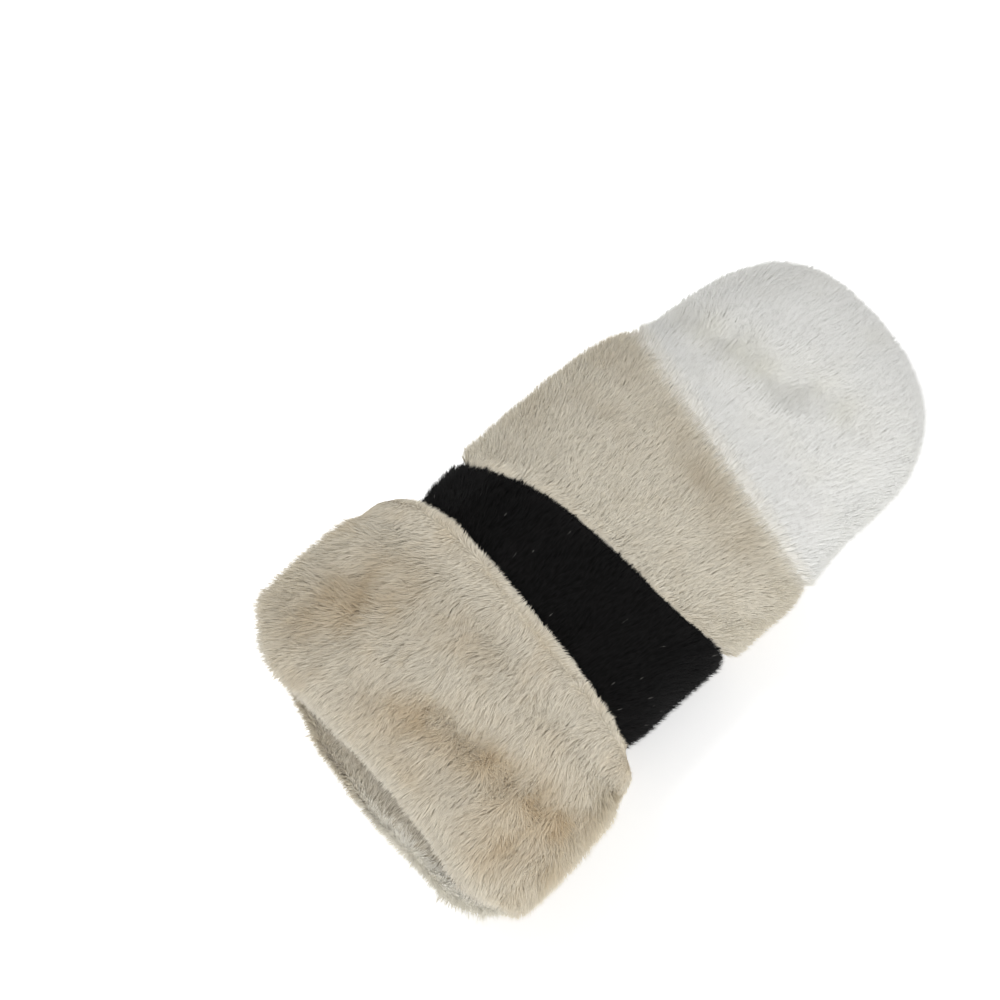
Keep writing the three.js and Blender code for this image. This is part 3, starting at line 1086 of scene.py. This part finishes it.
@dataclass
class Hand(SubAssembly):
    """The hand: three rings of short fur, sewn end to end.

    Args:
        sleek: the white ring's locks.
        tufted: the beige ring's locks.
        dense: the black ring's locks.
    """

    sleek: Pile = Pile(
        96000, length=5.8, width=0.5, lift=36.0, depth=2.5, tuft=4.0, lean=0.06, clump=0.1,
        lumps=0.5, ripple=0.12, gloss=0.98, seed=3,
    )
    tufted: Pile = Pile(
        90000, length=5.8, width=0.5, lift=44.0, depth=2.5, tuft=2.1, lean=0.45, clump=0.85,
        lumps=1.0, lump_size=8.0, ripple=1.2, gloss=0.74, seed=5,
    )
    dense: Pile = Pile(
        46000, length=5.8, width=0.5, lift=36.0, depth=2.5, tuft=2.8, lean=0.3, clump=0.6,
        lumps=0.6, gloss=0.8, seed=7,
    )

    def _pieces(self) -> tuple[FurPiece, ...]:
        """Lists the three rings.

        Returns:
            The rings, from the fingertips to the wrist.
        """
        white = FurFinish(
            "white_fur", root=(0.85, 0.84, 0.81), tip=(0.91, 0.91, 0.885), tan_and_shade=(0.88, 0.87, 0.80),
            tone=0.02, mottle=0.25, beyond=(0.85, 0.835, 0.785),
        )
        beige = FurFinish(
            "beige_fur", root=(0.60, 0.55, 0.45), tip=(0.76, 0.715, 0.61), tan_and_shade=(0.62, 0.55, 0.43),
            tone=0.20, mottle=0.35, beyond=(0.83, 0.80, 0.73),
        )
        black = FurFinish(
            "black_fur", root=(0.002, 0.002, 0.002), tip=(0.0086, 0.0083, 0.0083),
            tan_and_shade=(0.013, 0.012, 0.012), tone=0.8, mottle=0.6, sheen=0.08, fleck=0.0012,
        )
        return (
            TipPiece(
                "tip_panel", white, self.sleek, Nap.TO_FINGERTIPS, before="beige_band",
                parts=2, sink=-3.4, fill=2.8,
                # Patches of painted shade, tinted tan, in the tip's dent and crease.
                patches=((-34, 85, 32, 9, 11, 0.8), (8, 102, 16, 8, 5, 0.7)),
            ),
            FurPiece(
                "beige_band", beige, self.tufted, Nap.TO_FINGERTIPS, before="black_band", after="tip_panel",
                parts=2, jag=0.3, over=0.95, fill=3.6,
                # Patches of painted shade, tinted tan, on the beige fur.
                patches=((0, 40, 34, 9, -8, 0.9), (-62, 46, 14, 8, 0, 0.5)),
            ),
            FurPiece("black_band", black, self.dense, Nap.TO_FINGERTIPS, after="beige_band"),
        )


@dataclass
class Cuff(SubAssembly):
    """The turned-back cuff of long fur.

    Args:
        pile: its locks.
    """

    pile: Pile = Pile(
        144000, length=9.4, width=0.55, lift=44.0, depth=4.6, spread=0.12, tuft=3.5, lean=0.5, clump=0.7,
        lumps=2.0, lump_size=16.0, ripple=1.1, gloss=0.8, seed=9,
    )

    def _pieces(self) -> tuple[FurPiece, ...]:
        """Lists the cuff.

        Returns:
            The one piece.
        """
        # Its pale colour is the painted light on the lower lip.
        finish = FurFinish(
            "cuff_fur", root=(0.56, 0.505, 0.405), tip=(0.76, 0.71, 0.60), tan_and_shade=(0.68, 0.57, 0.405),
            tone=0.16, mottle=0.35, beyond=(0.86, 0.835, 0.76),
        )
        # Patches of painted shade, tinted tan, in the cuff's dips and creases.
        patches = (
            (-54, -94, 14, 26, -15, 1.0), (-2, -106, 20, 10, 35, 1.0), (26, -95, 22, 10, 22, 0.9),
            (56, -92, 23, 17, 15, 1.0), (61, -106, 20, 17, 0, 0.9), (10, -118, 18, 8, 0, 0.4),
        )
        cuff = CuffPiece("cuff", finish, self.pile, Nap.FANNED, parts=3, sink=3.2, swirl=0.8, patches=patches)
        return (cuff,)


@dataclass
class Thumb(SubAssembly):
    """The thumb, folded flat under the palm.

    Args:
        pile: its locks.
    """

    pile: Pile = Pile(
        30000, length=5.0, width=0.55, lift=20.0, depth=1.6, tuft=2.8, lean=0.25, clump=0.3,
        lumps=0.2, gloss=0.7, seed=13,
    )

    def _pieces(self) -> tuple[FurPiece, ...]:
        """Lists the thumb.

        Returns:
            The one piece.
        """
        finish = FurFinish(
            "beige_fur", root=(0.60, 0.55, 0.45), tip=(0.76, 0.715, 0.61), tan_and_shade=(0.62, 0.55, 0.44),
            tone=0.10, mottle=0.35,
        )
        return (FurPiece("thumb", finish, self.pile, Nap.TO_FINGERTIPS, clear=2.4),)


@dataclass
class Studio:
    """The floor, the lights and the camera, in metres, degrees and watts.

    Args:
        azimuth: the camera's place round the mitten.
        elevation: its height above the floor.
        distance: how far it stands from what it looks at.
        lens: its focal length in millimetres.
        sensor: how wide its picture is in millimetres.
        marked: the point of the mitten that the frame is set by.
        right: how far right of the frame's middle that point lies.
        down: how far below the middle it lies.
        key_place: where the lamp on the mitten hangs.
        key_size: how wide that lamp is.
        key_power: its power.
        rim_place: where the lamp on the floor hangs.
        rim_size: how wide that lamp is.
        rim_power: its power.
        sky: the strength of the even light all round.
        floor_glow: the strength of the light that the floor gives off.
        floor_half: half the floor's width.
    """

    azimuth: float = 50.0
    elevation: float = 78.0
    distance: float = 1.8
    lens: float = 162.0
    sensor: float = 36.0
    marked: Point = (0.0, 0.0, 0.025)
    right: float = 0.0496
    down: float = 0.026
    key_place: Point = (0.65, -0.3, 1.65)
    key_size: float = 1.2
    key_power: float = 22.0
    rim_place: Point = (-1.0, -0.15, 1.1)
    rim_size: float = 0.84
    rim_power: float = 13.5
    sky: float = 0.54
    floor_glow: float = 0.55
    floor_half: float = 4.0

    def build(self) -> None:
        """Builds the studio."""
        self._floor()
        self._lights()
        self._camera()

    def _floor(self) -> None:
        """Lays the floor, a large white square."""
        half = self.floor_half
        mesh = bpy.data.meshes.new("floor")
        corners = [(-half, -half, 0), (half, -half, 0), (half, half, 0), (-half, half, 0)]
        mesh.from_pydata(corners, [], [(0, 1, 2, 3)])
        floor = placed("floor", mesh)
        material, nodes, shader = matte("floor_white", 0.9, 0.0)
        nodes.feed(shader.inputs["Base Color"], (0.93, 0.93, 0.93))
        nodes.feed(shader.inputs["Emission Color"], (1.0, 1.0, 1.0))
        nodes.feed(shader.inputs["Emission Strength"], self.floor_glow)
        mesh.materials.append(material)

    def _lights(self) -> None:
        """Sets the key light on the mitten, the rim light on the floor and the even light all round."""
        key = self._lamp("key", self.key_place, self.key_power, self.key_size)
        rim = self._lamp("rim", self.rim_place, self.rim_power, self.rim_size)
        for lamp, state in ((key, "EXCLUDE"), (rim, "INCLUDE")):
            lit = bpy.data.collections.new(lamp.name + "_lights")
            lit.objects.link(bpy.data.objects["floor"])
            lit.collection_objects[0].light_linking.link_state = state
            lamp.light_linking.receiver_collection = lit
        world = bpy.data.worlds.new("sky")
        world.use_nodes = True
        sky = world.node_tree.nodes["Background"]
        sky.inputs["Color"].default_value = (1, 1, 1, 1)
        sky.inputs["Strength"].default_value = self.sky
        bpy.context.scene.world = world
        bpy.context.scene.view_settings.view_transform = "Standard"

    @staticmethod
    def _lamp(name: str, place: Point, power: float, size: float) -> Object:
        """Hangs one soft lamp that looks at the mitten.

        Args:
            name: the lamp's name.
            place: where it hangs.
            power: its power.
            size: how wide it is.

        Returns:
            The lamp.
        """
        lamp = bpy.data.lights.new(name, "AREA")
        lamp.energy = power
        lamp.shape = "DISK"
        lamp.size = size
        hung = placed(name, lamp)
        hung.location = place
        hung.rotation_euler = (-Vector(place)).to_track_quat("-Z", "Y").to_euler()
        return hung

    def _camera(self) -> None:
        """Sets the camera so that the marked point falls where it does in the photograph's frame."""
        turn, rise = math.radians(self.azimuth), math.radians(self.elevation)
        back = Vector((math.sin(turn) * math.cos(rise), -math.cos(turn) * math.cos(rise), math.sin(rise)))
        right = Vector((math.cos(turn), math.sin(turn), 0))
        up = back.cross(right)
        aim = Vector(self.marked) - right * self.right + up * self.down
        data = bpy.data.cameras.new("camera")
        data.lens = self.lens
        data.sensor_width = self.sensor
        data.clip_end = 20.0
        camera = placed("camera", data)
        camera.location = aim + back * self.distance
        camera.rotation_euler = back.to_track_quat("Z", "Y").to_euler()
        bpy.context.scene.camera = camera


def main() -> None:
    """Builds the mitten and its studio."""
    logging.basicConfig(level=logging.INFO, format="%(name)s %(message)s")
    Studio().build()
    forms = {name: tree_of(merged(name)) for name in frame["nodes"]}
    locks = LockTree()
    backing = BackingFinish("knitted_backing", (0.50, 0.45, 0.36)).build()
    for kind in (Hand, Cuff, Thumb):
        kind(locks, backing, forms).build()


if __name__ == "__main__":
    main()
